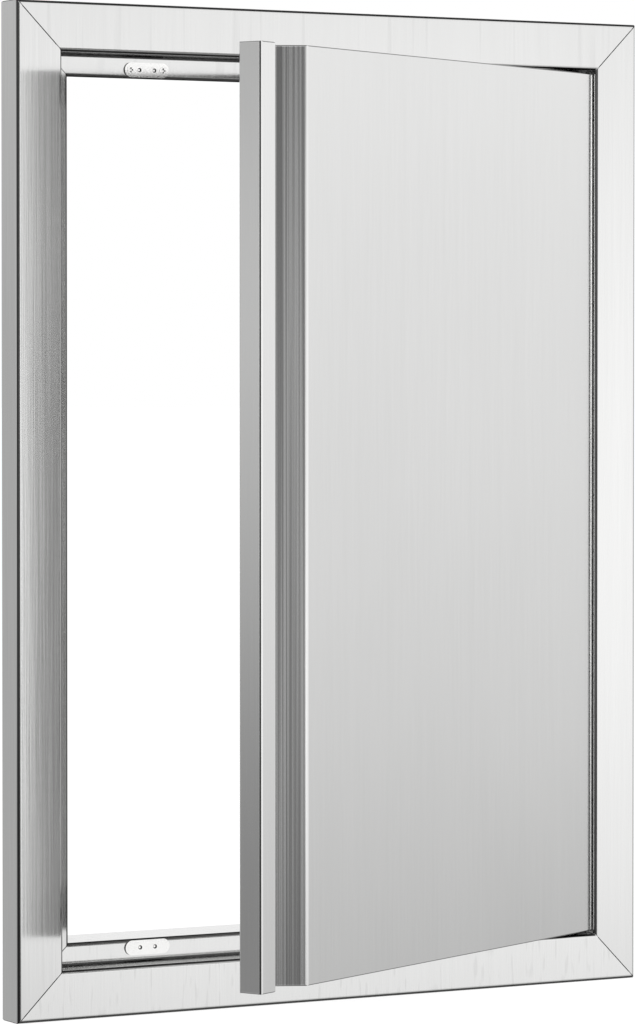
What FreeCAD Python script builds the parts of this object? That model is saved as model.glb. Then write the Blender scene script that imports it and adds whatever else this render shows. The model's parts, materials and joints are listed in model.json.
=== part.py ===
import FreeCAD, Part
import math
import os

# Access door for an outdoor kitchen island: a folded stainless frame set into a wall opening,
# with one double-walled door hung on two upright pins at its right-hand side.
# Millimetres. X runs to the right, Y into the wall and Z up. The origin is the middle of the
# wall opening, in the plane of the wall's face. The door is modelled open, as it is photographed.

# Frame
frame_width = 437.0
frame_height = 610.0
reveal_depth = 21.5
face_width = 30.1
rebate_width = 13.6
liner_depth = 35.5
frame_sheet = 1.2
frame_bend_inside = 1.1
rebate_bend_inside = 1.6
mitre_gap = 0.6
gusset_leg = 62.0
gusset_thickness = 1.5
gusset_side_clearance = 1.6

# Screw holes through the liner, for fixing the frame to the island
side_screw_spacing = 400.0
end_screw_spacing = 80.0
liner_hole_diameter = 4.8
liner_hole_setback = 20.0

# Door
door_gap = 2.0
door_thickness = 16.0
door_sheet = 1.0
door_bend_inside = 1.0
hem_width = 14.0
edge_wall_to_groove = 47.6
groove_width = 32.6
groove_run = 12.5
groove_edge_bend_inside = 2.4
groove_floor_bend_inside = 1.5
lip_hem_width = 9.0
lip_hem_gap = 0.2
lip_corner_radius = 2.4
end_edge_radius = 0.8
inner_clearance = 0.2
channel_flange = 14.0
stiffener_top_width = 40.0
stiffener_brim = 12.0

# Swing
photo_angle = 27.0

# Hinge
pivot_from_edge = 5.5
pivot_from_front = 5.8
pin_diameter = 4.0
running_clearance = 0.05
press_clearance = 0.01
bush_wall = 0.8
bush_flange_diameter = 9.0
bush_flange_thickness = 0.8
bush_tail = 0.5
collar_diameter = 7.0
collar_clearance = 0.1
pin_tip_length = 1.4
pin_chamfer = 0.5
hinge_plate_thickness = 2.5
hinge_plate_depth = 15.0
hinge_plate_overhang = 8.0
hinge_screw_inset = 18.0
hinge_screw_spacing = 18.0
hinge_screw_diameter = 4.0
hinge_screw_head_diameter = 7.0
hinge_screw_head_height = 1.3
hinge_screw_head_edge = 0.8
block_width = 24.0
block_height = 14.0
block_screw_from_pin = 11.5
block_screw_spacing = 6.6
block_screw_diameter = 3.0
block_screw_head_diameter = 5.2
block_screw_length = 9.0

# Magnetic catch
catch_from_frame_edge = 96.5
catch_plate_length = 30.0
catch_plate_width = 9.0
catch_plate_thickness = 1.0
catch_plate_overhang = 0.8
catch_screw_spacing = 22.0
catch_screw_head_diameter = 4.8
catch_screw_diameter = 3.0
catch_screw_head_rise = 0.15
catch_dimple_spacing = 10.1
catch_dimple_diameter = 2.6
catch_dimple_floor_diameter = 1.4
catch_dimple_depth = 0.8
magnet_air_gap = 0.4
magnet_case_length = 32.0
magnet_case_width = 9.0
magnet_length = 14.0
magnet_width = 5.0
magnet_cover = 0.4
case_screw_spacing = 24.0
case_screw_diameter = 2.5
case_screw_head_diameter = 4.4
case_screw_head_rise = 0.05

# Small hardware
recess_width = 0.9
recess_depth = 0.9
recess_rim = 0.9
rivet_diameter = 3.2
rivet_head_diameter = 6.0
rivet_head_height = 0.8
rivet_head_edge = 0.5
rivets_per_edge = 4

# Places worked out from the sizes above
front_y = -reveal_depth
rebate_depth = reveal_depth - frame_sheet
liner_inset = face_width + rebate_width
total_depth = reveal_depth + liner_depth
half_width = frame_width / 2
half_height = frame_height / 2
door_width = frame_width - 2 * (face_width + door_gap)
door_height = frame_height - 2 * (face_width + door_gap)
door_left = -door_width / 2
door_right = door_width / 2
door_top = door_height / 2
door_back_y = front_y + door_thickness
panel_back_y = door_back_y - door_sheet
panel_front_y = panel_back_y - door_sheet
skin_inside_y = front_y + door_sheet
pivot_x = door_right - pivot_from_edge
pivot_y = front_y + pivot_from_front
groove_floor_y = front_y + door_thickness - door_sheet
groove_edge_x = door_left + edge_wall_to_groove
groove_foot_x = groove_edge_x - groove_run
lip_edge_x = groove_edge_x - groove_width
groove_slope = (groove_floor_y - front_y) / groove_run
catch_x = -half_width + catch_from_frame_edge
catch_inset = liner_inset - catch_plate_overhang - catch_plate_width / 2
catch_z = half_height - catch_inset
overrun = 1.0  # how far a cutter runs past the face that it cuts


def vec(x, y, z=0.0):
    return FreeCAD.Vector(x, y, z)


def box(low, high):
    """A block between two opposite corners."""
    size = [b - a for a, b in zip(low, high)]
    return Part.makeBox(size[0], size[1], size[2], vec(*low))


def cylinder(diameter, start, direction, length):
    return Part.makeCylinder(diameter / 2, length, start, direction)


def prism(points, direction):
    """A flat polygon pushed along a direction."""
    wire = Part.makePolygon(points + [points[0]])
    return Part.Face(wire).extrude(direction)


def group(solids):
    """Separate solids kept together as one node."""
    return Part.makeCompound(solids)


def mirrored_in_height(shape):
    return shape.mirror(vec(0, 0, 0), vec(0, 0, 1))


def sheet_section(corners, inside_radii, thickness):
    """Cross-section of a bent sheet, flat in XY.

    The corners give one face of the sheet, and its thickness lies to the right of the walk.
    Each inner corner is bent with the inside radius given for it.
    """
    near_edges = []
    far_edges = []

    def add(edges, start, end, middle=None):
        if start.distanceToPoint(end) < 1e-6:
            return
        if middle is None:
            edges.append(Part.LineSegment(start, end).toShape())
        else:
            edges.append(Part.Arc(start, middle, end).toShape())

    def to_the_right(direction):
        return vec(direction.y, -direction.x)

    near = corners[0]
    direction = (corners[1] - corners[0]).normalize()
    far = near + to_the_right(direction) * thickness
    first_far = far
    for here, after, inside in zip(corners[1:-1], corners[2:], inside_radii):
        next_direction = (after - here).normalize()
        cross = direction.x * next_direction.y - direction.y * next_direction.x
        dot = direction.dot(next_direction)
        half_turn = abs(math.atan2(cross, dot)) / 2
        turns_right = cross < 0
        near_radius = inside + thickness if turns_right else inside
        far_radius = inside if turns_right else inside + thickness
        tangent = near_radius * math.tan(half_turn)
        bend_start = here - direction * tangent
        bend_end = here + next_direction * tangent
        side = to_the_right(direction)
        centre = bend_start + side * (near_radius if turns_right else -near_radius)
        outwards = (here - centre).normalize()
        far_start = bend_start + side * thickness
        far_end = bend_end + to_the_right(next_direction) * thickness
        add(near_edges, near, bend_start)
        add(near_edges, bend_start, bend_end, centre + outwards * near_radius)
        add(far_edges, far, far_start)
        add(far_edges, far_start, far_end, centre + outwards * far_radius)
        near = bend_end
        far = far_end
        direction = next_direction
    last = corners[-1]
    last_far = last + to_the_right(direction) * thickness
    add(near_edges, near, last)
    add(far_edges, far, last_far)
    caps = [Part.LineSegment(last, last_far).toShape(), Part.LineSegment(first_far, corners[0]).toShape()]
    return Part.Face(Part.Wire(Part.__sortEdges__(near_edges + far_edges + caps)))


def cross_recess(diameter, tip, direction):
    """The cutter for a cross-head screw's recess, sunk along a direction that lies on Y or Z."""
    arm = diameter / 2 - recess_rim
    half = recess_width / 2
    first = box((-arm, -half, 0), (arm, half, recess_depth))
    second = box((-half, -arm, 0), (half, arm, recess_depth))
    cutter = first.fuse(second)
    turn = FreeCAD.Rotation(vec(0, 0, 1), direction)
    cutter.Placement = FreeCAD.Placement(tip, turn)
    return cutter


def countersunk_screw(diameter, head_diameter, tip, direction, length, rise):
    """A flat-headed screw: its head's top stands proud by rise, and its shank runs along direction."""
    cone_height = (head_diameter - diameter) / 2
    top = tip - direction * rise
    screw = cylinder(head_diameter, top, direction, rise)
    screw = screw.fuse(Part.makeCone(head_diameter / 2, diameter / 2, cone_height, tip, direction))
    screw = screw.fuse(cylinder(diameter, tip, direction, length))
    screw = screw.removeSplitter()
    return screw.cut(cross_recess(head_diameter, top, direction))


def countersunk_hole(diameter, head_diameter, tip, direction, length):
    cone_height = (head_diameter - diameter) / 2
    cone = Part.makeCone(head_diameter / 2, diameter / 2, cone_height, tip, direction)
    return cone.fuse(cylinder(diameter, tip, direction, length))


def stadium(length, width, centre, direction, height):
    """A flat bar with round ends, long in X, that rises from centre along a direction on Y."""
    half = length / 2 - width / 2
    bar = Part.makeBox(2 * half, width, height, vec(-half, -width / 2, 0))
    for x in (-half, half):
        bar = bar.fuse(Part.makeCylinder(width / 2, height, vec(x, 0, 0)))
    bar = bar.removeSplitter()
    tilt = -90 if direction.y > 0 else 90
    bar.Placement = FreeCAD.Placement(centre, FreeCAD.Rotation(vec(1, 0, 0), tilt))
    return bar


def opened(shape):
    """Turn a door piece about the hinge line from closed to the angle in the photograph."""
    turned = shape.copy()
    turned.rotate(vec(pivot_x, pivot_y, 0), vec(0, 0, 1), photo_angle)
    return turned


# Frame

def frame_section():
    """Section of one frame member: x is the distance in from the outer edge, y the depth."""
    corners = [
        vec(liner_inset, total_depth),
        vec(liner_inset, rebate_depth),
        vec(face_width, rebate_depth),
        vec(face_width, 0),
        vec(0, 0),
        vec(0, reveal_depth),
    ]
    radii = [frame_bend_inside, rebate_bend_inside, frame_bend_inside, frame_bend_inside]
    return sheet_section(corners, radii, frame_sheet)


def frame_member(length):
    """One mitred member, laid as the top rail with its outer edge on the X axis."""
    bar = frame_section().extrude(vec(0, 0, length))
    bar.translate(vec(0, 0, -length / 2))
    reach = liner_inset + overrun
    outer = length / 2 + overrun - mitre_gap / math.sqrt(2)
    inner = length / 2 - reach - mitre_gap / math.sqrt(2)
    mitre = [
        vec(-overrun, -overrun, -outer),
        vec(reach, -overrun, -inner),
        vec(reach, -overrun, inner),
        vec(-overrun, -overrun, outer),
    ]
    bar = bar.common(prism(mitre, vec(0, total_depth + 2 * overrun, 0)))
    bar.rotate(vec(0, 0, 0), vec(0, 1, 0), 90)
    return bar


def placed_member(length, quarter_turn, place):
    member = frame_member(length)
    member.rotate(vec(0, 0, 0), vec(0, 1, 0), quarter_turn)
    member.translate(place)
    return member


def liner_holes_side():
    """Cutters for the screw holes through the left and right liners."""
    drills = []
    for z in (-side_screw_spacing / 2, side_screw_spacing / 2):
        start = vec(-half_width, liner_hole_setback, z)
        drills.append(cylinder(liner_hole_diameter, start, vec(1, 0, 0), frame_width))
    return drills


def liner_holes_end():
    """Cutters for the screw holes through the top and bottom liners."""
    drills = []
    for x in (-end_screw_spacing / 2, end_screw_spacing / 2):
        start = vec(x, liner_hole_setback, -half_height)
        drills.append(cylinder(liner_hole_diameter, start, vec(0, 0, 1), frame_height))
    return drills


def catch_plate_top():
    """Where the strike plate's face lies on the top rail's rebate."""
    return vec(catch_x, front_y + rebate_depth - catch_plate_thickness, catch_z)


def catch_screw_places():
    centre = catch_plate_top()
    return [centre + vec(side * catch_screw_spacing / 2, 0, 0) for side in (-1, 1)]


def hinge_plate_near():
    """Depth where the hinge plate starts, just clear of the bend behind the frame's face."""
    return front_y + frame_sheet + frame_bend_inside + inner_clearance


def bush_hole():
    """Diameter of the hole that the hinge bush is pressed into."""
    return pin_diameter + 2 * (running_clearance + bush_wall + press_clearance)


def hinge_screw_places():
    """Points on the top rail's rebate wall where the hinge plate's screws enter."""
    places = []
    y = hinge_plate_near() + hinge_plate_depth / 2
    for step in (0, 1):
        x = pivot_x - hinge_screw_inset - step * hinge_screw_spacing
        places.append(vec(x, y, half_height - face_width))
    return places


def top_rail():
    rail = placed_member(frame_width, 0, vec(0, front_y, half_height))
    wall = half_height - face_width
    through = frame_sheet + 2 * overrun
    rail = rail.cut(cylinder(bush_hole(), vec(pivot_x, pivot_y, wall - overrun), vec(0, 0, 1), through))
    for place in hinge_screw_places():
        hole = hinge_screw_diameter + 2 * press_clearance
        rail = rail.cut(cylinder(hole, place - vec(0, 0, overrun), vec(0, 0, 1), through))
    for place in catch_screw_places():
        hole = catch_screw_diameter + 2 * press_clearance
        rail = rail.cut(cylinder(hole, place, vec(0, 1, 0), catch_plate_thickness + frame_sheet + overrun))
    for drill in liner_holes_end():
        rail = rail.cut(drill)
    return rail


def bottom_rail():
    return mirrored_in_height(top_rail())


def left_stile():
    stile = placed_member(frame_height, -90, vec(-half_width, front_y, 0))
    for drill in liner_holes_side():
        stile = stile.cut(drill)
    return stile


def right_stile():
    stile = placed_member(frame_height, 90, vec(half_width, front_y, 0))
    for drill in liner_holes_side():
        stile = stile.cut(drill)
    return stile


def corner_gusset():
    """L-shaped plate welded behind the mitre of the top left corner."""
    near = frame_sheet + frame_bend_inside + gusset_side_clearance
    far = face_width - near
    left = -half_width
    top = half_height
    outline = [
        vec(left + near, 0, top - near),
        vec(left + near + gusset_leg, 0, top - near),
        vec(left + near + gusset_leg, 0, top - far),
        vec(left + far, 0, top - far),
        vec(left + far, 0, top - near - gusset_leg),
        vec(left + near, 0, top - near - gusset_leg),
    ]
    plate = prism(outline, vec(0, gusset_thickness, 0))
    plate.translate(vec(0, front_y + frame_sheet, 0))
    return plate


def corner_gussets():
    top_left = corner_gusset()
    top_right = top_left.mirror(vec(0, 0, 0), vec(1, 0, 0))
    return group([top_left, top_right, mirrored_in_height(top_left), mirrored_in_height(top_right)])


# Magnetic catch on the frame

def strike_plate():
    """The top catch plate, with two tapered dimples between its two screws."""
    face = catch_plate_top()
    seat = face + vec(0, catch_plate_thickness, 0)
    plate = stadium(catch_plate_length, catch_plate_width, seat, vec(0, -1, 0), catch_plate_thickness)
    for side in (-1, 1):
        centre = face + vec(side * catch_dimple_spacing / 2, 0, 0)
        dimple = Part.makeCone(catch_dimple_diameter / 2, catch_dimple_floor_diameter / 2,
                               catch_dimple_depth, centre, vec(0, 1, 0))
        plate = plate.cut(dimple)
    for place in catch_screw_places():
        hole = catch_screw_diameter + 2 * press_clearance
        head = catch_screw_head_diameter + 2 * press_clearance
        plate = plate.cut(countersunk_hole(hole, head, place, vec(0, 1, 0), catch_plate_thickness))
    return plate


def strike_screws():
    length = catch_plate_thickness + frame_sheet
    screws = []
    for place in catch_screw_places():
        screws.append(countersunk_screw(
            catch_screw_diameter, catch_screw_head_diameter, place, vec(0, 1, 0),
            length, catch_screw_head_rise))
    return group(screws)


def strike_rivets():
    """Flush rivets that hold the bottom plate, with no recess and nothing proud."""
    length = catch_plate_thickness + frame_sheet
    cone_height = (catch_screw_head_diameter - catch_screw_diameter) / 2
    rivets = []
    for place in catch_screw_places():
        rivet = Part.makeCone(
            catch_screw_head_diameter / 2, catch_screw_diameter / 2, cone_height, place, vec(0, 1, 0))
        rivet = rivet.fuse(cylinder(catch_screw_diameter, place, vec(0, 1, 0), length)).removeSplitter()
        rivets.append(mirrored_in_height(rivet))
    return group(rivets)


# Hinge pieces on the frame

def hinge_plate():
    """Plate behind the top rail's rebate wall that carries the bush and takes the screws."""
    wall = half_height - face_width + frame_sheet
    left = pivot_x - hinge_screw_inset - hinge_screw_spacing - hinge_plate_overhang
    right = pivot_x + bush_flange_diameter / 2 + overrun
    near = hinge_plate_near()
    plate = box((left, near, wall), (right, near + hinge_plate_depth, wall + hinge_plate_thickness))
    bush_axis = vec(pivot_x, pivot_y, wall)
    plate = plate.cut(cylinder(bush_hole(), bush_axis, vec(0, 0, 1), hinge_plate_thickness))
    for place in hinge_screw_places():
        hole = hinge_screw_diameter + 2 * press_clearance
        plate = plate.cut(cylinder(hole, vec(place.x, place.y, wall), vec(0, 0, 1), hinge_plate_thickness))
    return plate


def hinge_plate_screws():
    """Low pan-head screws, two for each hinge plate, entered from the rebate."""
    screws = []
    shank = frame_sheet + hinge_plate_thickness
    for place in hinge_screw_places():
        head_top = place - vec(0, 0, hinge_screw_head_height)
        head = cylinder(hinge_screw_head_diameter, head_top, vec(0, 0, 1), hinge_screw_head_height)
        rim = [edge for edge in head.Edges if abs(edge.BoundBox.ZMax - head_top.z) < 1e-6]
        head = head.makeFillet(hinge_screw_head_edge, rim)
        screw = head.fuse(cylinder(hinge_screw_diameter, place, vec(0, 0, 1), shank)).removeSplitter()
        screw = screw.cut(cross_recess(hinge_screw_head_diameter, head_top, vec(0, 0, 1)))
        screws.append(screw)
    return group(screws + [mirrored_in_height(screw) for screw in screws])


def hinge_bush():
    """Flanged nylon bush pressed up through the top rail and its hinge plate."""
    wall = half_height - face_width
    start = vec(pivot_x, pivot_y, wall - bush_flange_thickness)
    body_length = bush_flange_thickness + frame_sheet + hinge_plate_thickness + bush_tail
    bore = pin_diameter + 2 * running_clearance
    body = cylinder(bore + 2 * bush_wall, start, vec(0, 0, 1), body_length)
    flange = cylinder(bush_flange_diameter, start, vec(0, 0, 1), bush_flange_thickness)
    bush = body.fuse(flange).removeSplitter()
    return bush.cut(cylinder(bore, start, vec(0, 0, 1), body_length))


# Door

def front_skin():
    """The door's front: one sheet folded into the hinge edge, the face, the groove and the lip."""
    wall_x = door_left + door_sheet
    lip_under_y = front_y + door_sheet
    hem_x = lip_edge_x - door_sheet
    hem_y = lip_under_y + lip_hem_gap
    corners = [
        vec(door_right - hem_width, door_back_y),
        vec(door_right, door_back_y),
        vec(door_right, front_y),
        vec(groove_edge_x, front_y),
        vec(groove_foot_x, groove_floor_y),
        vec(wall_x, groove_floor_y),
        vec(wall_x, lip_under_y),
        vec(hem_x, lip_under_y),
        vec(hem_x, hem_y),
        vec(hem_x - lip_hem_width, hem_y),
    ]
    radii = [
        door_bend_inside,
        door_bend_inside,
        groove_edge_bend_inside,
        groove_floor_bend_inside,
        door_bend_inside,
        door_bend_inside,
        lip_hem_gap / 2,
        lip_hem_gap / 2,
    ]
    skin = sheet_section(corners, radii, door_sheet).extrude(vec(0, 0, door_height))
    skin.translate(vec(0, 0, -door_top))
    for cutter in lip_corner_cutters() + end_edge_cutters():
        skin = skin.cut(cutter)
    return skin


def lip_corner_cutters():
    """Cutters that round the free corners of the lip, top and bottom."""
    cutters = []
    depth = 2 * door_sheet + lip_hem_gap + 2 * overrun
    corner = vec(lip_edge_x, front_y - overrun, door_top)
    radius = lip_corner_radius
    square = box(
        (corner.x - radius, corner.y, corner.z - radius),
        (corner.x + overrun, corner.y + depth, corner.z + overrun))
    centre = corner - vec(radius, 0, radius)
    rounded = square.cut(cylinder(2 * radius, centre, vec(0, 1, 0), depth))
    cutters.append(rounded)
    cutters.append(mirrored_in_height(rounded))
    return cutters


def edge_rounding(start, end, outward):
    """Cutter that rounds the door's top edge along a straight run of one outside face."""
    radius = end_edge_radius
    up = vec(0, 0, 1)
    run = end - start
    outline = [
        start + outward * overrun + up * overrun,
        start + outward * overrun - up * radius,
        start - outward * radius - up * radius,
        start - outward * radius + up * overrun,
    ]
    rod = cylinder(2 * radius, start - outward * radius - up * radius, run, run.Length)
    return prism(outline, run).cut(rod)


def end_edge_cutters():
    """Cutters that ease the skin's top and bottom edges on its face, lip, ramp and two side walls."""
    left_front = vec(door_left, front_y, door_top)
    left_back = vec(door_left, door_back_y, door_top)
    right_front = vec(door_right, front_y, door_top)
    right_back = vec(door_right, door_back_y, door_top)
    ramp_top = vec(groove_edge_x, front_y, door_top)
    ramp_foot = vec(groove_foot_x, groove_floor_y, door_top)
    ramp_outward = vec(front_y - groove_floor_y, -groove_run).normalize()
    top_cutters = [
        edge_rounding(left_front, right_front, vec(0, -1)),
        edge_rounding(left_front, left_back, vec(-1, 0)),
        edge_rounding(right_front, right_back, vec(1, 0)),
        edge_rounding(ramp_top, ramp_foot, ramp_outward),
    ]
    return top_cutters + [mirrored_in_height(cutter) for cutter in top_cutters]


def groove_back_x(y, clearance):
    """X of the groove's sloping back at a depth, moved clear of it towards the hinge."""
    slant = math.sqrt(1 + groove_slope ** 2)
    offset = (door_sheet + clearance) * slant / groove_slope
    return groove_edge_x - (y - front_y) / groove_slope + offset


def inner_front_left():
    """X where the inner pieces start behind the face, past the bend into the groove."""
    bend = groove_edge_bend_inside * math.tan(math.atan(groove_slope) / 2)
    return groove_back_x(skin_inside_y, inner_clearance) + bend


def back_panel():
    """Flat inner sheet of the door, tucked under the hinge-side hem and the end channels' flanges."""
    left = groove_back_x(panel_front_y, inner_clearance)
    right = door_right - door_sheet - door_bend_inside
    panel = box((left, panel_front_y, -door_top), (right, panel_back_y, door_top))
    for drill in rivet_drills() + case_screw_drills() + block_screw_drills():
        panel = panel.cut(drill)
    return panel


def end_channel():
    """Channel that closes the door's top edge between the two sheets."""
    front = skin_inside_y
    back = panel_front_y
    right = door_right - door_sheet - inner_clearance
    corner_right = right - door_bend_inside
    front_left = inner_front_left()
    back_left = groove_back_x(back, inner_clearance)
    web_outline = [
        vec(corner_right, front, door_top),
        vec(front_left, front, door_top),
        vec(back_left, back, door_top),
        vec(corner_right, back, door_top),
    ]
    web = prism(web_outline, vec(0, 0, -door_sheet))
    low = door_top - channel_flange
    front_flange = box((front_left, front, low), (corner_right, front + door_sheet, door_top))
    back_flange = box((groove_back_x(back - door_sheet, inner_clearance), back - door_sheet, low),
                      (corner_right, back, door_top))
    channel = web.fuse(front_flange).fuse(back_flange).removeSplitter()
    pin_hole = pin_diameter + 2 * press_clearance
    channel = channel.cut(cylinder(pin_hole, vec(pivot_x, pivot_y, door_top), vec(0, 0, -1), door_sheet))
    for drill in rivet_drills() + case_screw_drills() + block_screw_drills():
        channel = channel.cut(drill)
    return channel


def rivet_places():
    """Points on the panel's back where the rivets stand, along the door's top and bottom edges."""
    first = catch_x + magnet_case_length / 2 + 2 * rivet_head_diameter
    last = pivot_x - block_width - rivet_head_diameter
    step = (last - first) / (rivets_per_edge - 1)
    z = door_top - channel_flange / 2
    columns = [first + n * step for n in range(rivets_per_edge)]
    return [vec(x, panel_back_y, side * z) for x in columns for side in (1, -1)]


def rivet_drills():
    hole = rivet_diameter + 2 * press_clearance
    start_shift = vec(0, overrun, 0)
    length = 2 * door_sheet + 2 * overrun
    return [cylinder(hole, place + start_shift, vec(0, -1, 0), length) for place in rivet_places()]


def panel_rivets():
    rivets = []
    for place in rivet_places():
        head = cylinder(rivet_head_diameter, place, vec(0, 1, 0), rivet_head_height)
        rim = [edge for edge in head.Edges if abs(edge.BoundBox.YMin - place.y - rivet_head_height) < 1e-6]
        head = head.makeFillet(rivet_head_edge, rim)
        shank = cylinder(rivet_diameter, place, vec(0, -1, 0), 2 * door_sheet)
        rivets.append(head.fuse(shank).removeSplitter())
    return group(rivets)


def stiffener():
    """Hat-shaped bar across the middle of the door, between the two sheets."""
    front = skin_inside_y
    back = panel_front_y
    crown = back - door_sheet
    left = groove_back_x(back, inner_clearance)
    right = door_right - door_sheet - inner_clearance - door_bend_inside
    half_top = stiffener_top_width / 2
    half_brim = half_top + stiffener_brim
    corners = [
        vec(half_brim, front),
        vec(half_top, front),
        vec(half_top, crown),
        vec(-half_top, crown),
        vec(-half_top, front),
        vec(-half_brim, front),
    ]
    section = sheet_section(corners, [door_bend_inside] * 4, door_sheet)
    bar = section.extrude(vec(0, 0, right - left))
    bar.rotate(vec(0, 0, 0), vec(0, 1, 0), -90)
    bar.translate(vec(right, 0, 0))
    reach = half_brim + overrun
    wedge = [
        vec(inner_front_left(), front, -reach),
        vec(left - overrun, front, -reach),
        vec(left - overrun, back, -reach),
        vec(left, back, -reach),
    ]
    return bar.cut(prism(wedge, vec(0, 0, 2 * reach)))


# Hinge pieces on the door

def pivot_block():
    """Steel block inside the door's top hinge corner that holds the pin."""
    half = block_width / 2
    right = min(pivot_x + half, door_right - door_sheet - door_bend_inside - inner_clearance)
    left = right - block_width
    near = skin_inside_y + door_sheet + inner_clearance
    far = panel_front_y - door_sheet - inner_clearance
    top = door_top - door_sheet
    block = box((left, near, top - block_height), (right, far, top))
    pin_hole = pin_diameter + 2 * press_clearance
    block = block.cut(cylinder(pin_hole, vec(pivot_x, pivot_y, top), vec(0, 0, -1), block_height))
    for drill in block_screw_drills():
        block = block.cut(drill)
    return block


def block_screw_places():
    """Points on the panel's back, two for each pivot block, beside its pin."""
    x = pivot_x - block_screw_from_pin
    middle = door_top - door_sheet - block_height / 2
    heights = [middle - block_screw_spacing / 2, middle + block_screw_spacing / 2]
    return [vec(x, panel_back_y, side * z) for side in (1, -1) for z in heights]


def block_screw_drills():
    hole = block_screw_diameter + 2 * press_clearance
    return [cylinder(hole, place, vec(0, -1, 0), block_screw_length) for place in block_screw_places()]


def block_screws():
    """Button-headed screws through the panel into the pivot blocks."""
    screws = []
    for place in block_screw_places():
        head = cylinder(block_screw_head_diameter, place, vec(0, 1, 0), rivet_head_height)
        shank = cylinder(block_screw_diameter, place, vec(0, -1, 0), block_screw_length)
        screw = head.fuse(shank).removeSplitter()
        top = place + vec(0, rivet_head_height, 0)
        screws.append(screw.cut(cross_recess(block_screw_head_diameter, top, vec(0, -1, 0))))
    return group(screws)


def pivot_pin():
    """Top hinge pin: pressed into its block, with a collar that runs on the bush."""
    collar_height = door_gap - bush_flange_thickness - collar_clearance
    start = vec(pivot_x, pivot_y, door_top - door_sheet - block_height)
    reach = door_gap + frame_sheet + hinge_plate_thickness + bush_tail + pin_tip_length
    length = door_sheet + block_height + reach
    shank = cylinder(pin_diameter, start, vec(0, 0, 1), length)
    tip = [edge for edge in shank.Edges if abs(edge.BoundBox.ZMin - start.z - length) < 1e-6]
    shank = shank.makeChamfer(pin_chamfer, tip)
    collar = cylinder(collar_diameter, vec(pivot_x, pivot_y, door_top), vec(0, 0, 1), collar_height)
    return shank.fuse(collar).removeSplitter()


# Magnetic catch on the door

def case_height():
    """How far a magnet case stands off the panel to meet its strike plate."""
    return front_y + rebate_depth - catch_plate_thickness - magnet_air_gap - panel_back_y


def case_centre():
    return vec(catch_x, panel_back_y, catch_z)


def case_screw_places():
    centre = case_centre() + vec(0, case_height(), 0)
    return [centre + vec(side * case_screw_spacing / 2, 0, 0) for side in (-1, 1)]


def case_screw_length():
    return case_height() + 2 * door_sheet


def case_screw_drills():
    hole = case_screw_diameter + 2 * press_clearance
    drills = [cylinder(hole, place, vec(0, -1, 0), case_screw_length()) for place in case_screw_places()]
    return drills + [mirrored_in_height(drill) for drill in drills]


def magnet_pocket(clearance):
    centre = case_centre()
    half_length = magnet_length / 2 + clearance
    half_width_here = magnet_width / 2 + clearance
    top = panel_back_y + case_height() - magnet_cover + clearance
    return box((centre.x - half_length, panel_back_y, centre.z - half_width_here),
               (centre.x + half_length, top, centre.z + half_width_here))


def magnet_case():
    case = stadium(magnet_case_length, magnet_case_width, case_centre(), vec(0, 1, 0), case_height())
    case = case.cut(magnet_pocket(press_clearance))
    for place in case_screw_places():
        hole = case_screw_diameter + 2 * press_clearance
        head = case_screw_head_diameter + 2 * press_clearance
        case = case.cut(countersunk_hole(hole, head, place, vec(0, -1, 0), case_height()))
    return case


def magnet():
    return magnet_pocket(0)


def case_screws():
    screws = []
    for place in case_screw_places():
        screws.append(countersunk_screw(
            case_screw_diameter, case_screw_head_diameter, place, vec(0, -1, 0),
            case_screw_length(), case_screw_head_rise))
    return group(screws + [mirrored_in_height(screw) for screw in screws])


def door_pieces():
    """Every piece that swings, in the closed position."""
    return {
        "door_front_skin": front_skin(),
        "door_back_panel": back_panel(),
        "door_top_channel": end_channel(),
        "door_bottom_channel": mirrored_in_height(end_channel()),
        "door_stiffener": stiffener(),
        "top_pivot_block": pivot_block(),
        "bottom_pivot_block": mirrored_in_height(pivot_block()),
        "pivot_block_screws": block_screws(),
        "top_hinge_pin": pivot_pin(),
        "bottom_hinge_pin": mirrored_in_height(pivot_pin()),
        "top_magnet_case": magnet_case(),
        "bottom_magnet_case": mirrored_in_height(magnet_case()),
        "top_magnet": magnet(),
        "bottom_magnet": mirrored_in_height(magnet()),
        "magnet_case_screws": case_screws(),
        "back_panel_rivets": panel_rivets(),
    }


def frame_pieces():
    """Every piece that stays with the island."""
    return {
        "frame_top_rail": top_rail(),
        "frame_bottom_rail": bottom_rail(),
        "frame_left_stile": left_stile(),
        "frame_right_stile": right_stile(),
        "frame_corner_gussets": corner_gussets(),
        "top_strike_plate": strike_plate(),
        "bottom_strike_plate": mirrored_in_height(strike_plate()),
        "top_strike_screws": strike_screws(),
        "bottom_strike_rivets": strike_rivets(),
        "top_hinge_plate": hinge_plate(),
        "bottom_hinge_plate": mirrored_in_height(hinge_plate()),
        "hinge_plate_screws": hinge_plate_screws(),
        "top_hinge_bush": hinge_bush(),
        "bottom_hinge_bush": mirrored_in_height(hinge_bush()),
    }


def main():
    pieces = frame_pieces()
    for name, shape in door_pieces().items():
        pieces[name] = opened(shape)
    os.makedirs("parts", exist_ok=True)
    for name, shape in pieces.items():
        shape.exportStep("parts/" + name + ".step")
        print(name, "solids", len(shape.Solids), "valid", shape.isValid(), "volume", round(shape.Volume, 1))


main()
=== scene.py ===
import json
import math

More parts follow.
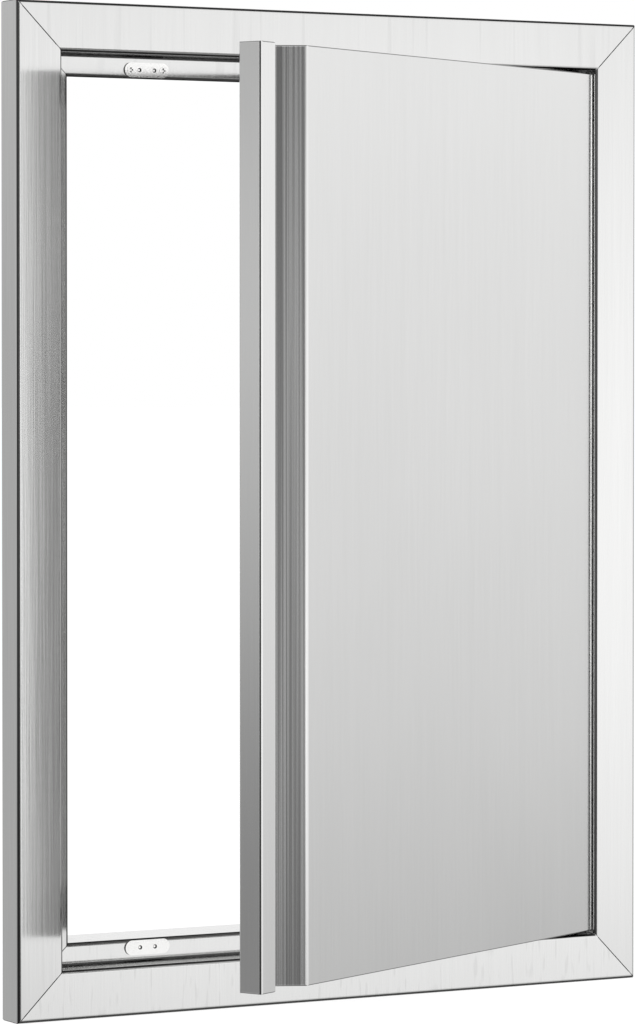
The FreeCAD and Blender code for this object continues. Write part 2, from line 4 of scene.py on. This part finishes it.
import bpy
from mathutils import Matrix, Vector


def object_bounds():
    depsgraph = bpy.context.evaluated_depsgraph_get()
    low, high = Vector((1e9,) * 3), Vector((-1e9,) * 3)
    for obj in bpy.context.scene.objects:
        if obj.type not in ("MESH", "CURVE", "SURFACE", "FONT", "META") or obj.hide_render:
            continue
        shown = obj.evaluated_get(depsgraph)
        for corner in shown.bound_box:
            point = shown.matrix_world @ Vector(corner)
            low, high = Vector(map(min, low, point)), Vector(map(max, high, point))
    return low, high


# Access door for an outdoor kitchen island, dressed for a studio picture. Metres, in the frame of
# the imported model: X to the right, Y into the wall, Z up, origin in the middle of the wall opening.

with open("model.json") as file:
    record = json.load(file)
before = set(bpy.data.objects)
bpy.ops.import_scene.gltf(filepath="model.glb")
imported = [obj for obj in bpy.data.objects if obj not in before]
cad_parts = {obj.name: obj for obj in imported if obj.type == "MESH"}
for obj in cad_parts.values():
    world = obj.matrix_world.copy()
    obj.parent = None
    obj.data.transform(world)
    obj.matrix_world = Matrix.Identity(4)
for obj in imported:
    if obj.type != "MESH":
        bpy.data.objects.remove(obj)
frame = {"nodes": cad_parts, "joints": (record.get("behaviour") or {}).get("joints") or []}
cad_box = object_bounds()
nodes = frame["nodes"]

x_axis = (1.0, 0.0, 0.0)
y_axis = (0.0, 1.0, 0.0)
z_axis = (0.0, 0.0, 1.0)
level_plane = (1.0, 1.0, 0.0)
white = (1.0, 1.0, 1.0, 1.0)

# Floor
floor_radius = 40.0
floor_sides = 96
floor_drop = 0.0002
floor_colour = (0.80, 0.80, 0.80, 1.0)
seen_floor_colour = (0.30, 0.30, 0.30, 1.0)
seen_floor_glow = 0.85

# Camera, worked out from the frame's outer edges and mitres in the photograph
picture_width = 635
picture_height = 1024
sensor_size = 36.0
focal_length_px = 4711.9
principal_x_px = 320.05
principal_y_px = 460.78
camera_place = Vector((-1.4266, -2.5538, 0.0881))
camera_yaw = math.radians(29.18)
camera_pitch = math.radians(-1.17)
nearest_seen = 0.05
farthest_seen = 3 * floor_radius

# Light from all round
diffuse_level = 0.62
backdrop_level = 1.0

# What the metal mirrors: a room that grows lighter upwards, with softly edged zones in it. Each zone
# has an azimuth with its full and faded half width, a rise with its full and faded half height, all in
# degrees, and a brightness. Later zones cover earlier ones. The comments say where each zone shows most.
room_low = (-25, 0.62)
room_high = (25, 0.95)
studio_zones = [
    ((60, 35, 60, 14, 11, 20), 0.90),  # bottom liner
    ((60, 35, 60, -12, 12, 18), 1.15),  # top liner, and the left stile's face
    ((119, 14, 34, -12, 11, 26), 0.46),  # left stile's outer side
    ((173, 32, 60, 6, 8, 22), 0.60),  # wall of the pull edge
    ((173, 30, 52, -12, 5, 13), 0.27),  # the wall's lower half
    ((173, 30, 52, 10, 5, 9), 0.51),  # the wall's upper end
    ((-5, 32, 76, 20, 15.5, 27.5), 0.97),  # door face and lip
    ((14, 16, 24, 9, 4, 8), 1.05),  # upper door face
    ((14, 17, 26, -14, 5, 10), 0.54),  # lower door face
    ((-85, 11, 22, -14, 6, 11), 0.48),  # low on the bends beside the faces
    ((-66, 20, 36, -1.8, 1, 10.5), 1.13),  # frame face
    ((-136, 9, 22, 8, 7, 19), 2.25),  # groove floor, and the left stile's outer bend
    ((-114, 12, 24, -2, 9, 18), 0.03),  # left stile's face, by way of the door's back
    ((-107, 5, 12, -1.6, 1.6, 12.5), 0.33),  # ramp of the pull edge
    ((-5, 50, 85, -60, 20, 26), 0.06),  # bends that face down
    ((-5, 50, 85, 60, 20, 26), 0.06),  # bends that face up
]

# Brushed grain: how many features to the metre, across the grain and along it
fine_grain = (2600.0, 26.0)
streak_grain = (760.0, 9.0)
band_grain = (95.0, 1.4)
long_line_grain = (230.0, 6.0)
short_line_grain = (420.0, 60.0)
ramp_grain = (900.0, 1.6)

# How far each kind of grain swings the metal's tone
fine_depth = 0.012
band_depth = 0.005
cloud_depth = 0.01
ramp_streak_depth = 0.34

# Finish of the sheet metal
frame_colour = (0.80, 0.80, 0.795)
steel_roughness = 0.117
streak_roughness = 0.015
cloud_roughness = 0.01
steel_anisotropy = 0.92
steel_cloud_grain = 7.0
steel_relief = 0.00003

# Painted shade on bends and edges, and painted light on the lip, as shares of the sheet's own
face_bend_painted_shade = 0.08
rebate_bend_painted_shade = 0.14
cut_edge_painted_shade = 0.2
door_edge_painted_shade = 0.3
wall_bend_painted_shade = 0.12
lip_painted_light = 1.06

# Finish of plated hardware
plate_spot_grain = 900.0
plate_cloud_grain = 160.0
plate_relief = 0.00001
plate_smoother = 0.02
plate_rougher = 0.05

# Finish of moulded plastic
plastic_spark_grain = 2200.0
plastic_cloud_grain = 60.0
plastic_relief = 0.00005
plastic_cloud_tones = (0.96, 1.03)
plastic_spark_depth = 0.02
plastic_smoother = 0.05
plastic_rougher = 0.08

# The values between which a tone or a mask changes. Of a noise:
noise_middle = (0.3, 0.7)
fine_middle = (0.25, 0.75)
line_crest = (0.62, 0.78)
ramp_streak_middle = (0.32, 0.68)
spot_crest = (0.4, 0.8)
spot_slope = (0.3, 0.75)

# Of a normal's largest part, on the frame's three kinds of bend, where the painted shade lies:
face_bend = (0.86, 0.97)
rebate_bend = (0.965, 0.998)
outer_bend = (0.86, 0.965)

# Of a normal's part along a direction:
outside_part = (0.0, 0.05)
cut_face_part = (0.62, 0.68)
ramp_part = (0.96, 0.99)
wall_bend_start = (0.18, 0.38)
wall_bend_end = (0.64, 0.78)
wall_bend_outwards = (0.3, 0.5)
end_edge_start = (0.12, 0.4)
end_edge_end = (0.95, 0.99)
plate_face_part = (0.6, 0.95)

# Of a place: half way down the rebate's walls, and in the groove, between the ramp's foot and the lip
rebate_half_way = (-0.013, -0.009)
lip_from_hinge = -0.345
lip_border = 0.001

# The door as it is modelled: how far it stands open, and its own axes and ramp
hinge = frame["joints"][0]
open_angle = -math.radians(hinge["range_deg"][0])
door_across = Vector((math.cos(open_angle), math.sin(open_angle), 0.0))
door_inwards = Vector((-math.sin(open_angle), math.cos(open_angle), 0.0))
ramp_run = 0.0125
ramp_depth = 0.015


class Tree:
    """Short calls for building one node tree."""

    def __init__(self, tree):
        self.tree = tree
        self.tree.nodes.clear()

    def add(self, kind, **settings):
        made = self.tree.nodes.new(kind)
        for name, value in settings.items():
            setattr(made, name, value)
        return made

    def put(self, socket, value):
        """Sets an input socket, or links it where the value is another node's output."""
        if isinstance(value, bpy.types.NodeSocket):
            self.tree.links.new(value, socket)
        else:
            socket.default_value = value

    def math(self, operation, first, second=0.0, clamp=False):
        made = self.add("ShaderNodeMath", operation=operation, use_clamp=clamp)
        self.put(made.inputs[0], first)
        self.put(made.inputs[1], second)
        return made.outputs[0]

    def vector(self, operation, first, second=(0.0, 0.0, 0.0)):
        made = self.add("ShaderNodeVectorMath", operation=operation)
        self.put(made.inputs[0], first)
        self.put(made.inputs[1], second)
        return made.outputs["Vector"]

    def along(self, vector, direction):
        """The vector's part along a direction."""
        made = self.add("ShaderNodeVectorMath", operation="DOT_PRODUCT")
        self.put(made.inputs[0], vector)
        self.put(made.inputs[1], direction)
        return made.outputs["Value"]

    def sizes(self, vector, axes):
        """The sizes of the vector's parts along the named axes."""
        parts = self.add("ShaderNodeSeparateXYZ")
        self.put(parts.inputs[0], vector)
        return [self.math("ABSOLUTE", parts.outputs[axis]) for axis in axes]

    def span(self, value, low, high, out_low=0.0, out_high=1.0):
        """Maps low..high to out_low..out_high with a soft start and end."""
        made = self.add("ShaderNodeMapRange", interpolation_type="SMOOTHSTEP")
        for name, number in zip(("Value", "From Min", "From Max", "To Min", "To Max"),
                                (value, low, high, out_low, out_high)):
            self.put(made.inputs[name], number)
        return made.outputs["Result"]

    def blend(self, share, first, second):
        """first where share is 0, second where it is 1."""
        made = self.add("ShaderNodeMix", data_type="FLOAT")
        for name, value in zip(("Factor", "A", "B"), (share, first, second)):
            self.put(made.inputs[name], value)
        return made.outputs["Result"]

    def noise(self, coordinates, scale, detail=2.0, roughness=0.5):
        """Noise over coordinates that are first stretched by scale, a number for each axis."""
        made = self.add("ShaderNodeTexNoise", noise_dimensions="3D")
        self.put(made.inputs["Vector"], self.vector("MULTIPLY", coordinates, scale))
        self.put(made.inputs["Scale"], 1.0)
        self.put(made.inputs["Detail"], detail)
        self.put(made.inputs["Roughness"], roughness)
        return made.outputs["Fac"]

    def product(self, *values):
        total = values[0]
        for value in values[1:]:
            total = self.math("MULTIPLY", total, value)
        return total

    def total(self, *values):
        total = values[0]
        for value in values[1:]:
            total = self.math("ADD", total, value)
        return total

    def toned(self, tone, mask, factor):
        """The tone, times a factor where the mask is 1."""
        return self.math("MULTIPLY", tone, self.span(mask, 0.0, 1.0, 1.0, factor))

    def tinted(self, colour, factor):
        """A colour, made lighter or darker by a factor."""
        made = self.add("ShaderNodeVectorMath", operation="SCALE")
        self.put(made.inputs[0], colour)
        self.put(made.inputs["Scale"], factor)
        return made.outputs["Vector"]

    def mixed(self, share, first, second):
        """The first shader where share is 0, the second where it is 1."""
        made = self.add("ShaderNodeMixShader")
        for socket, value in zip(made.inputs, (share, first, second)):
            self.put(socket, value)
        return made.outputs[0]

    def finish(self, kind, surface):
        out = self.add(kind)
        self.put(out.inputs["Surface"], surface)


def even(size):
    """The same scale along all three axes."""
    return (size, size, size)


# Camera

def aim_camera():
    """The photograph's viewpoint."""
    data = bpy.data.cameras.new("studio_camera")
    data.sensor_fit = "VERTICAL"
    data.sensor_height = sensor_size
    data.sensor_width = sensor_size
    data.lens = focal_length_px * sensor_size / picture_height
    data.shift_x = (picture_width / 2 - principal_x_px) / picture_height
    data.shift_y = (principal_y_px - picture_height / 2) / picture_height
    data.clip_start = nearest_seen
    data.clip_end = farthest_seen
    camera = bpy.data.objects.new("studio_camera", data)
    bpy.context.scene.collection.objects.link(camera)
    ahead = Vector((math.sin(camera_yaw) * math.cos(camera_pitch),
                    math.cos(camera_yaw) * math.cos(camera_pitch),
                    math.sin(camera_pitch)))
    camera.rotation_mode = "QUATERNION"
    camera.rotation_quaternion = ahead.to_track_quat("-Z", "Y")
    camera.location = camera_place
    bpy.context.scene.camera = camera


# Studio

def heading(azimuth):
    """A level direction from its angle on the floor, measured from +X towards +Y."""
    return (math.cos(math.radians(azimuth)), math.sin(math.radians(azimuth)), 0.0)


def zone_share(tree, direction, zone):
    """1 inside a zone of the studio, falling softly to 0 round it."""
    azimuth, wide_full, wide_faded, rise, high_full, high_faded = zone
    flat = tree.vector("NORMALIZE", tree.vector("MULTIPLY", direction, level_plane))
    facing = tree.along(flat, heading(azimuth))
    sideways = tree.span(facing, math.cos(math.radians(wide_faded)), math.cos(math.radians(wide_full)))
    elevation = tree.math("ARCSINE", tree.along(direction, z_axis))
    off = tree.math("ABSOLUTE", tree.math("SUBTRACT", elevation, math.radians(rise)))
    upright = tree.span(off, math.radians(high_full), math.radians(high_faded), 1.0, 0.0)
    return tree.math("MULTIPLY", sideways, upright)


def seen_rays(tree):
    """1 for rays from the camera, and for mirror and glass rays."""
    path = tree.add("ShaderNodeLightPath")
    seen = tree.math("ADD", path.outputs["Is Camera Ray"], path.outputs["Is Glossy Ray"])
    return tree.math("ADD", seen, path.outputs["Is Transmission Ray"], clamp=True)


def room_level(tree):
    """The brightness of the room in each direction, white behind what the camera sees."""
    direction = tree.add("ShaderNodeTexCoord").outputs["Generated"]
    rise = tree.math("ARCSINE", tree.along(direction, z_axis))
    level = tree.span(rise, math.radians(room_low[0]), math.radians(room_high[0]), room_low[1], room_high[1])
    for zone, brightness in studio_zones:
        level = tree.blend(zone_share(tree, direction, zone), level, brightness)
    return tree.blend(tree.add("ShaderNodeLightPath").outputs["Is Camera Ray"], level, backdrop_level)


def background(tree, strength):
    made = tree.add("ShaderNodeBackground")
    tree.put(made.inputs["Color"], white)
    tree.put(made.inputs["Strength"], strength)
    return made.outputs[0]


def light_world():
    """The room for camera, mirror and glass rays, and one plain level for diffuse light."""
    world = bpy.data.worlds.new("studio_world")
    world.use_nodes = True
    bpy.context.scene.world = world
    tree = Tree(world.node_tree)
    room = background(tree, room_level(tree))
    ambient = background(tree, diffuse_level)
    tree.finish("ShaderNodeOutputWorld", tree.mixed(seen_rays(tree), ambient, room))


def area_lamp(name, place, width, height, power):
    """A soft lamp that points at the middle of the opening and that no mirror shows."""
    data = bpy.data.lights.new(name, "AREA")
    data.shape = "RECTANGLE"
    data.size = width
    data.size_y = height
    data.energy = power
    lamp = bpy.data.objects.new(name, data)
    bpy.context.scene.collection.objects.link(lamp)
    lamp.location = place
    lamp.visible_glossy = False
    lamp.rotation_mode = "QUATERNION"
    lamp.rotation_quaternion = (-Vector(place)).to_track_quat("-Z", "Y")


def light_lamps():
    area_lamp("softbox_right", place=(2.4, -2.2, 1.6), width=1.8, height=2.4, power=55.0)
    area_lamp("softbox_left", place=(-2.2, -1.6, 1.8), width=1.4, height=2.0, power=25.0)


def diffuse(tree, colour):
    made = tree.add("ShaderNodeBsdfDiffuse")
    tree.put(made.inputs["Color"], colour)
    return made.outputs[0]


def floor_material():
    """Plain and pale, and nearly white where the camera sees it."""
    material, tree = new_material("studio_floor")
    glow = tree.add("ShaderNodeEmission")
    tree.put(glow.inputs["Strength"], seen_floor_glow)
    lit = tree.add("ShaderNodeAddShader")
    tree.put(lit.inputs[0], diffuse(tree, seen_floor_colour))
    tree.put(lit.inputs[1], glow.outputs[0])
    surface = tree.mixed(seen_rays(tree), diffuse(tree, floor_colour), lit.outputs[0])
    tree.finish("ShaderNodeOutputMaterial", surface)
    return material


def make_floor():
    """A round floor at the foot of the frame, which no mirror shows."""
    low = cad_box[0][2] - floor_drop
    turns = [2 * math.pi * side / floor_sides for side in range(floor_sides)]
    ring = [(floor_radius * math.cos(turn), floor_radius * math.sin(turn), low) for turn in turns]
    mesh = bpy.data.meshes.new("studio_floor")
    mesh.from_pydata(ring, [], [list(range(floor_sides))])
    mesh.materials.append(floor_material())
    floor = bpy.data.objects.new("studio_floor", mesh)
    bpy.context.scene.collection.objects.link(floor)
    floor.visible_glossy = False


# Making materials

def new_material(name):
    material = bpy.data.materials.new(name)
    material.use_nodes = True
    return material, Tree(material.node_tree)


def finish_surface(tree, colour, metallic, roughness, height, relief, strength):
    """Closes a material with one Principled shader and a bump. Returns the shader."""
    bump = tree.add("ShaderNodeBump")
    tree.put(bump.inputs["Height"], height)
    tree.put(bump.inputs["Distance"], relief)
    tree.put(bump.inputs["Strength"], strength)
    shader = tree.add("ShaderNodeBsdfPrincipled")
    tree.put(shader.inputs["Base Color"], colour)
    tree.put(shader.inputs["Metallic"], metallic)
    tree.put(shader.inputs["Roughness"], roughness)
    tree.put(shader.inputs["Normal"], bump.outputs["Normal"])
    tree.finish("ShaderNodeOutputMaterial", shader.outputs[0])
    return shader


def stretch(grain, rail):
    """Scales for a noise on brushed sheet: fine across the grain, long along it.

    The grain runs up the stiles and the door. On a rail it runs across the folded member.
    """
    across, along = grain
    return (across, along, along) if rail else (across, across, along)


def drawn_lines(tree, place, grain, rail):
    """Sparse separate brush lines, 1 in the middle of a line and 0 between them."""
    return tree.span(tree.noise(place, stretch(grain, rail), detail=0.0), *line_crest)


def bend_tone(tree, place, normal, outwards, outer_bend_painted_light):
    """1 on the frame's flats, and painted shade on its bends: at the face, in the rebate, and outside, where
    a share above 1 paints a highlight instead.
    """
    x_size, y_size, z_size = tree.sizes(normal, "XYZ")
    largest = tree.math("MAXIMUM", tree.math("MAXIMUM", x_size, y_size), z_size)
    deep = tree.span(tree.along(place, y_axis), *rebate_half_way)
    inside_painted_shade = tree.blend(deep, tree.span(largest, *face_bend, face_bend_painted_shade, 1.0),
                             tree.span(largest, *rebate_bend, rebate_bend_painted_shade, 1.0))
    outside_painted_light = tree.span(largest, *outer_bend, outer_bend_painted_light, 1.0)
    outside = tree.span(tree.along(normal, outwards), *outside_part)
    return tree.blend(outside, inside_painted_shade, outside_painted_light)


def cut_edge(tree, normal):
    """1 on the mitres' cut faces, which stand at 45 degrees between X and Z."""
    return tree.span(tree.math("MINIMUM", *tree.sizes(normal, "XZ")), *cut_face_part)


def door_streaks_and_painted_light(tree, place, normal, tone):
    """The door's tone: streaks down the ramp, painted light on the lip, and painted shade on the bend beside
    it and on the end edges.
    """
    slant = math.hypot(ramp_run, ramp_depth)
    ramp_outwards = (door_across * -ramp_depth + door_inwards * -ramp_run) / slant
    on_ramp = tree.span(tree.along(normal, ramp_outwards), *ramp_part)
    ramp_streak = tree.noise(place, stretch(ramp_grain, rail=False), detail=1.0)
    streaks = tree.span(ramp_streak, *ramp_streak_middle, -ramp_streak_depth, ramp_streak_depth)
    tone = tree.total(tone, tree.product(on_ramp, streaks))
    hinge_across = Vector(hinge["pos_m"]).dot(door_across)
    from_hinge = tree.math("SUBTRACT", tree.along(place, door_across), hinge_across)
    on_lip = tree.span(from_hinge, lip_from_hinge - lip_border, lip_from_hinge + lip_border, 1.0, 0.0)
    # painted light: the lip and the wall beside it are made lighter
    tone = tree.toned(tone, on_lip, lip_painted_light)
    forwards = tree.along(normal, -door_inwards)
    bent = tree.product(tree.span(forwards, *wall_bend_start), tree.span(forwards, *wall_bend_end, 1.0, 0.0))
    free_side = tree.span(tree.along(normal, -door_across), *wall_bend_outwards)
    # painted shade on the bend between the pull edge's wall and its lip
    tone = tree.toned(tone, tree.product(on_lip, bent, free_side), wall_bend_painted_shade)
    upright = tree.math("ABSOLUTE", tree.along(normal, z_axis))
    eased = tree.product(tree.span(upright, *end_edge_start), tree.span(upright, *end_edge_end, 1.0, 0.0))
    # painted shade on the bends at the door's top and bottom edges
    return tree.toned(tone, eased, door_edge_painted_shade)


def grain_direction(tree, rail):
    """The tangent that spreads the highlights across the brushed grain."""
    if rail:
        across = tree.add("ShaderNodeCombineXYZ")
        tree.put(across.inputs["X"], 1.0)
        return across.outputs[0]
    normal = tree.add("ShaderNodeNewGeometry").outputs["Normal"]
    return tree.vector("CROSS_PRODUCT", normal, z_axis)


def brushed_steel(name, colour, rail, streak_depth, line_grain=None, line_depth=0.0, lean=0.0,
                  outwards=None, outer_bend_painted_light=1.0):
    """Brushed stainless sheet with its grain upright, as on every member in the photograph.

    lean is how far a face is shaded as standing open from its true plane, because its sheet springs back;
    its shape stays flat.
    outwards points out of the frame from one of its members, where its bends and the mitres' cut faces get
    painted shade, and None makes it sheet of the door, with the door's painted light and shade. The outer
    bend's share paints shade on that bend, and a highlight where it is above 1.
    """
    material, tree = new_material(name)
    coordinates = tree.add("ShaderNodeTexCoord")
    place = coordinates.outputs["Object"]
    normal = coordinates.outputs["Normal"]
    fine = tree.noise(place, stretch(fine_grain, rail))
    streak = tree.noise(place, stretch(streak_grain, rail), detail=3.0, roughness=0.6)
    band = tree.noise(place, stretch(band_grain, rail))
    cloud = tree.noise(place, even(steel_cloud_grain))
    tone = tree.total(
        tree.span(streak, *noise_middle, 1.0 - streak_depth, 1.0 + streak_depth),
        tree.span(band, *noise_middle, -band_depth, band_depth),
        tree.span(cloud, *noise_middle, -cloud_depth, cloud_depth),
        tree.span(fine, *fine_middle, -fine_depth, fine_depth))
    if line_grain:
        lines = drawn_lines(tree, place, line_grain, rail)
        tone = tree.math("SUBTRACT", tone, tree.math("MULTIPLY", lines, line_depth))
    if outwards:
        # Painted shade on the frame's bends, and on the mitres' cut faces where the gaps lie in shade.
        tone = tree.product(tone, bend_tone(tree, place, normal, outwards, outer_bend_painted_light))
        tone = tree.toned(tone, cut_edge(tree, normal), cut_edge_painted_shade)
    else:
        tone = door_streaks_and_painted_light(tree, place, normal, tone)
    smoothest = steel_roughness - streak_roughness
    roughest = steel_roughness + streak_roughness
    rough = tree.total(tree.span(streak, *noise_middle, smoothest, roughest),
                       tree.span(cloud, *noise_middle, -cloud_roughness, cloud_roughness))
    slope = tree.product(tree.along(place, x_axis), math.tan(lean) / steel_relief)
    height = tree.total(streak, slope)
    shader = finish_surface(tree, tree.tinted(colour, tone), metallic=1.0, roughness=rough,
                            height=height, relief=steel_relief, strength=1.0)
    tree.put(shader.inputs["Anisotropic"], steel_anisotropy)
    tree.put(shader.inputs["Tangent"], grain_direction(tree, rail))
    return material


def plated(name, colour, roughness, mottle, edge_tone=1.0):
    """Small plated steel hardware, slightly scuffed.

    edge_tone is the share of its tone that is left where it doesn't face front or back, which paints shade
    on those sides.
    """
    material, tree = new_material(name)
    coordinates = tree.add("ShaderNodeTexCoord")
    place = coordinates.outputs["Object"]
    spots = tree.noise(place, even(plate_spot_grain), detail=3.0)
    cloud = tree.noise(place, even(plate_cloud_grain))
    tone = tree.total(tree.span(cloud, *noise_middle, 1.0 - mottle, 1.0 + mottle),
                      tree.span(spots, *spot_crest, 0.0, -mottle))
    facing = tree.math("ABSOLUTE", tree.along(coordinates.outputs["Normal"], y_axis))
    # painted shade on the sides that face neither front nor back
    tone = tree.math("MULTIPLY", tone, tree.span(facing, *plate_face_part, edge_tone, 1.0))
    rough = tree.span(spots, *spot_slope, roughness - plate_smoother, roughness + plate_rougher)
    finish_surface(tree, tree.tinted(colour, tone), metallic=1.0, roughness=rough,
                   height=spots, relief=plate_relief, strength=0.5)
    return material


def moulded(name, colour, roughness):
    """Moulded plastic with a fine spark texture."""
    material, tree = new_material(name)
    place = tree.add("ShaderNodeTexCoord").outputs["Object"]
    spark = tree.noise(place, even(plastic_spark_grain))
    cloud = tree.noise(place, even(plastic_cloud_grain))
    tone = tree.math("ADD", tree.span(cloud, *noise_middle, *plastic_cloud_tones),
                     tree.span(spark, *noise_middle, -plastic_spark_depth, plastic_spark_depth))
    rough = tree.span(spark, *noise_middle, roughness - plastic_smoother, roughness + plastic_rougher)
    finish_surface(tree, tree.tinted(colour, tone), metallic=0.0, roughness=rough,
                   height=spark, relief=plastic_relief, strength=0.6)
    return material


# Materials

# Below 1, the outer bend's share paints shade on a member's outer bend; the bottom rail's 1.1 paints a
# highlight there.
def top_rail_steel():
    return brushed_steel("frame_top_steel", frame_colour, rail=True, streak_depth=0.006,
                         line_grain=long_line_grain, line_depth=0.05,
                         outwards=(0.0, 0.0, 1.0), outer_bend_painted_light=0.6)


def bottom_rail_steel():
    # painted light: the bottom rail's steel is a lighter copy of the frame's colour
    return brushed_steel("frame_bottom_painted_light_steel", (0.84, 0.84, 0.835), rail=True, streak_depth=0.01,
                         line_grain=short_line_grain, line_depth=0.07,
                         outwards=(0.0, 0.0, -1.0), outer_bend_painted_light=1.1)


def left_stile_steel():
    return brushed_steel("frame_left_steel", frame_colour, rail=False, streak_depth=0.025,
                         lean=math.radians(1.7), outwards=(-1.0, 0.0, 0.0), outer_bend_painted_light=0.05)


def right_stile_steel():
    return brushed_steel("frame_right_steel", frame_colour, rail=False, streak_depth=0.012,
                         outwards=(1.0, 0.0, 0.0), outer_bend_painted_light=0.35)


def door_steel():
    return brushed_steel("door_steel", (0.78, 0.78, 0.775), rail=False, streak_depth=0.006)


def door_back_shaded_steel():
    # painted shade: the door's back and inner parts are a darker copy of the door's steel
    return brushed_steel("door_back_shaded_steel", (0.66, 0.66, 0.655), rail=False, streak_depth=0.01)


def bright_nickel():
    # the strike plates, screws and rivets get painted shade on their sides
    return plated("bright_nickel", (0.97, 0.965, 0.955), roughness=0.09, mottle=0.015, edge_tone=0.08)


def nickel():
    return plated("nickel", (0.86, 0.85, 0.83), roughness=0.22, mottle=0.04)


def zinc_steel():
    return plated("zinc_steel", (0.62, 0.63, 0.64), roughness=0.34, mottle=0.08)


def black_zinc():
    return plated("black_zinc", (0.08, 0.08, 0.08), roughness=0.34, mottle=0.08)


def black_nylon():
    return moulded("black_nylon", (0.04, 0.04, 0.04), roughness=0.45)


def case_plastic():
    return moulded("case_plastic", (0.16, 0.16, 0.165), roughness=0.5)


# Dressing

def dress(material, *names):
    for name in names:
        nodes[name].data.materials.clear()
        nodes[name].data.materials.append(material)


def dress_frame():
    dress(top_rail_steel(), "frame_top_rail")
    dress(bottom_rail_steel(), "frame_bottom_rail")
    dress(left_stile_steel(), "frame_left_stile")
    dress(right_stile_steel(), "frame_right_stile")


def dress_door():
    dress(door_steel(), "door_front_skin")
    dress(door_back_shaded_steel(), "door_back_panel", "door_top_channel", "door_bottom_channel", "door_stiffener")


def dress_hardware():
    dress(bright_nickel(), "top_strike_plate", "bottom_strike_plate",
          "top_strike_screws", "bottom_strike_rivets")
    dress(nickel(), "top_magnet", "bottom_magnet", "back_panel_rivets")
    dress(zinc_steel(), "frame_corner_gussets", "pivot_block_screws", "magnet_case_screws")
    dress(black_zinc(), "top_hinge_plate", "bottom_hinge_plate", "hinge_plate_screws",
          "top_pivot_block", "bottom_pivot_block", "top_hinge_pin", "bottom_hinge_pin")
    dress(black_nylon(), "top_hinge_bush", "bottom_hinge_bush")
    dress(case_plastic(), "top_magnet_case", "bottom_magnet_case")


aim_camera()
light_world()
light_lamps()
make_floor()
dress_frame()
dress_door()
dress_hardware()
bpy.context.scene.view_settings.view_transform = "Standard"
